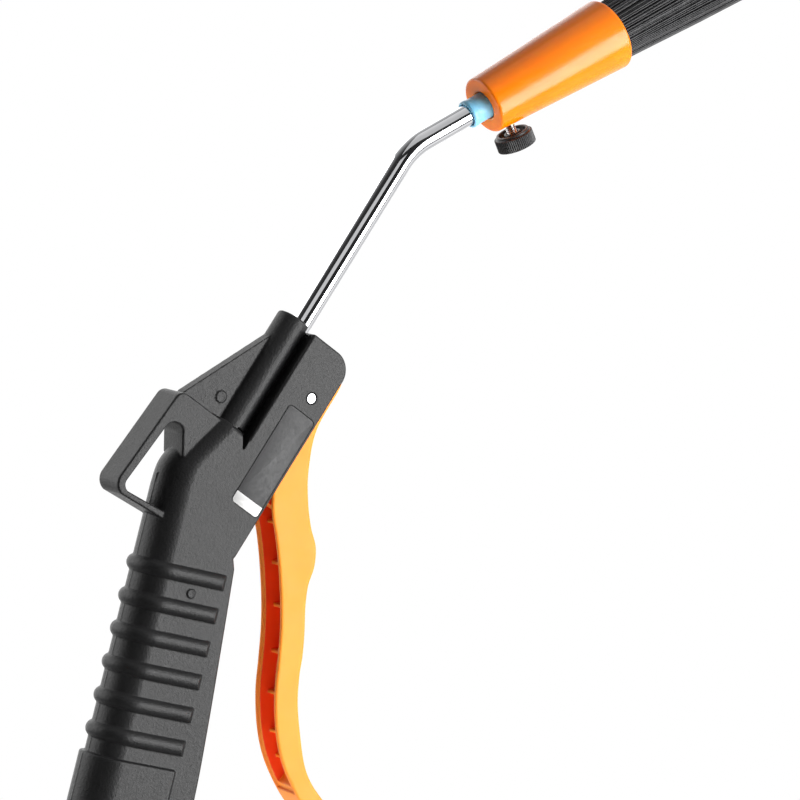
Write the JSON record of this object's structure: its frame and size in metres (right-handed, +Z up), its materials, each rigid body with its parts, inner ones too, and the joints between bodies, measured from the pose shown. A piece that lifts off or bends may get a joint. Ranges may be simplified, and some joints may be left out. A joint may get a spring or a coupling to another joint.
{
  "type": "air duster gun",
  "caption": "Hand-held air duster gun with a squeeze lever, a bent metal nozzle and a clamp-on brush head, hung by its hook.",
  "frame": {"origin": "top of the arch inside the hanging hook, on the symmetry plane, where a peg carries the gun", "axes": "+Z runs up along the grip, +X points forwards from the grip to the lever, +Y points to the gun's right side"},
  "size_m": [0.2293, 0.032, 0.4311],
  "materials": {
    "black_nylon": "fine-grained moulded glass-filled nylon",
    "orange_plastic": "smooth moulded plastic, satin gloss",
    "blue_plastic": "smooth moulded plastic",
    "chromed_steel": "bright chrome plating",
    "plated_steel": "zinc-plated steel",
    "brass": "turned brass",
    "rubber": "nitrile rubber",
    "bristle_nylon": "extruded nylon bristles",
    "black_knob": "knurled black oxide",
    "white_nylon": "natural nylon"
  },
  "bodies": {
    "gun_body": {"body": "black_nylon", "lever_pin": "plated_steel", "valve_seat": "brass", "gland_nut": "brass", "stem_o_ring": "rubber", "gland_o_ring": "rubber", "valve_spring": "plated_steel", "inlet_insert": "brass", "inlet_washer": "white_nylon", "hose_nipple": "plated_steel", "nozzle_tube": "chromed_steel", "nozzle_o_ring": "rubber"},
    "lever": {"lever": "orange_plastic"},
    "valve_plunger": {"valve_stem": "plated_steel", "valve_poppet": "brass", "poppet_seal": "rubber"},
    "sleeve": {"nozzle_sleeve": "blue_plastic"},
    "brush_head": {"brush_ferrule": "orange_plastic", "bristle_holder": "white_nylon", "bristle_bundle": "bristle_nylon", "screw_insert": "brass"},
    "screw_pad": {"pressure_pad": "white_nylon"},
    "thumb_screw": {"screw_shank": "plated_steel", "thumb_knob": "black_knob"}
  },
  "joints": [
    {"name": "lever_pivot", "type": "hinge", "parent": "gun_body", "child": "lever", "pos_m": [0.05011, 0, 0.01997], "axis": [0, 1, 0], "range_deg": [0, 7.5], "stiffness_Nm_per_rad": 2, "springref_deg": -3.44},
    {"name": "valve_slide", "type": "slide", "parent": "gun_body", "child": "valve_plunger", "axis": [-0.9367, 0, 0.3502], "range_m": [0, 0.0048], "deforming": ["valve_spring"]},
    {"name": "brush_turn", "type": "hinge", "parent": "gun_body", "child": "sleeve", "pos_m": [0.09832, 0, 0.14043], "axis": [0.7604, 0, 0.6494], "continuous": true},
    {"name": "brush_slide", "type": "slide", "parent": "sleeve", "child": "brush_head", "axis": [0.7604, 0, 0.6494], "range_m": [0, 0.019]},
    {"name": "screw_advance", "type": "slide", "parent": "brush_head", "child": "screw_pad", "axis": [0.6494, 0, -0.7604], "range_m": [0, 0.0021]},
    {"name": "screw_turn", "type": "hinge", "parent": "screw_pad", "child": "thumb_screw", "pos_m": [0.10395, 0, 0.14524], "axis": [0.6494, 0, -0.7604], "range_deg": [0, 1081]}
  ],
  "couplings": [
    {"joint": "valve_slide", "follows": "lever_pivot", "m_per_rad": 0.0363},
    {"joint": "screw_turn", "follows": "screw_advance", "rad_per_m": 8976}
  ]
}
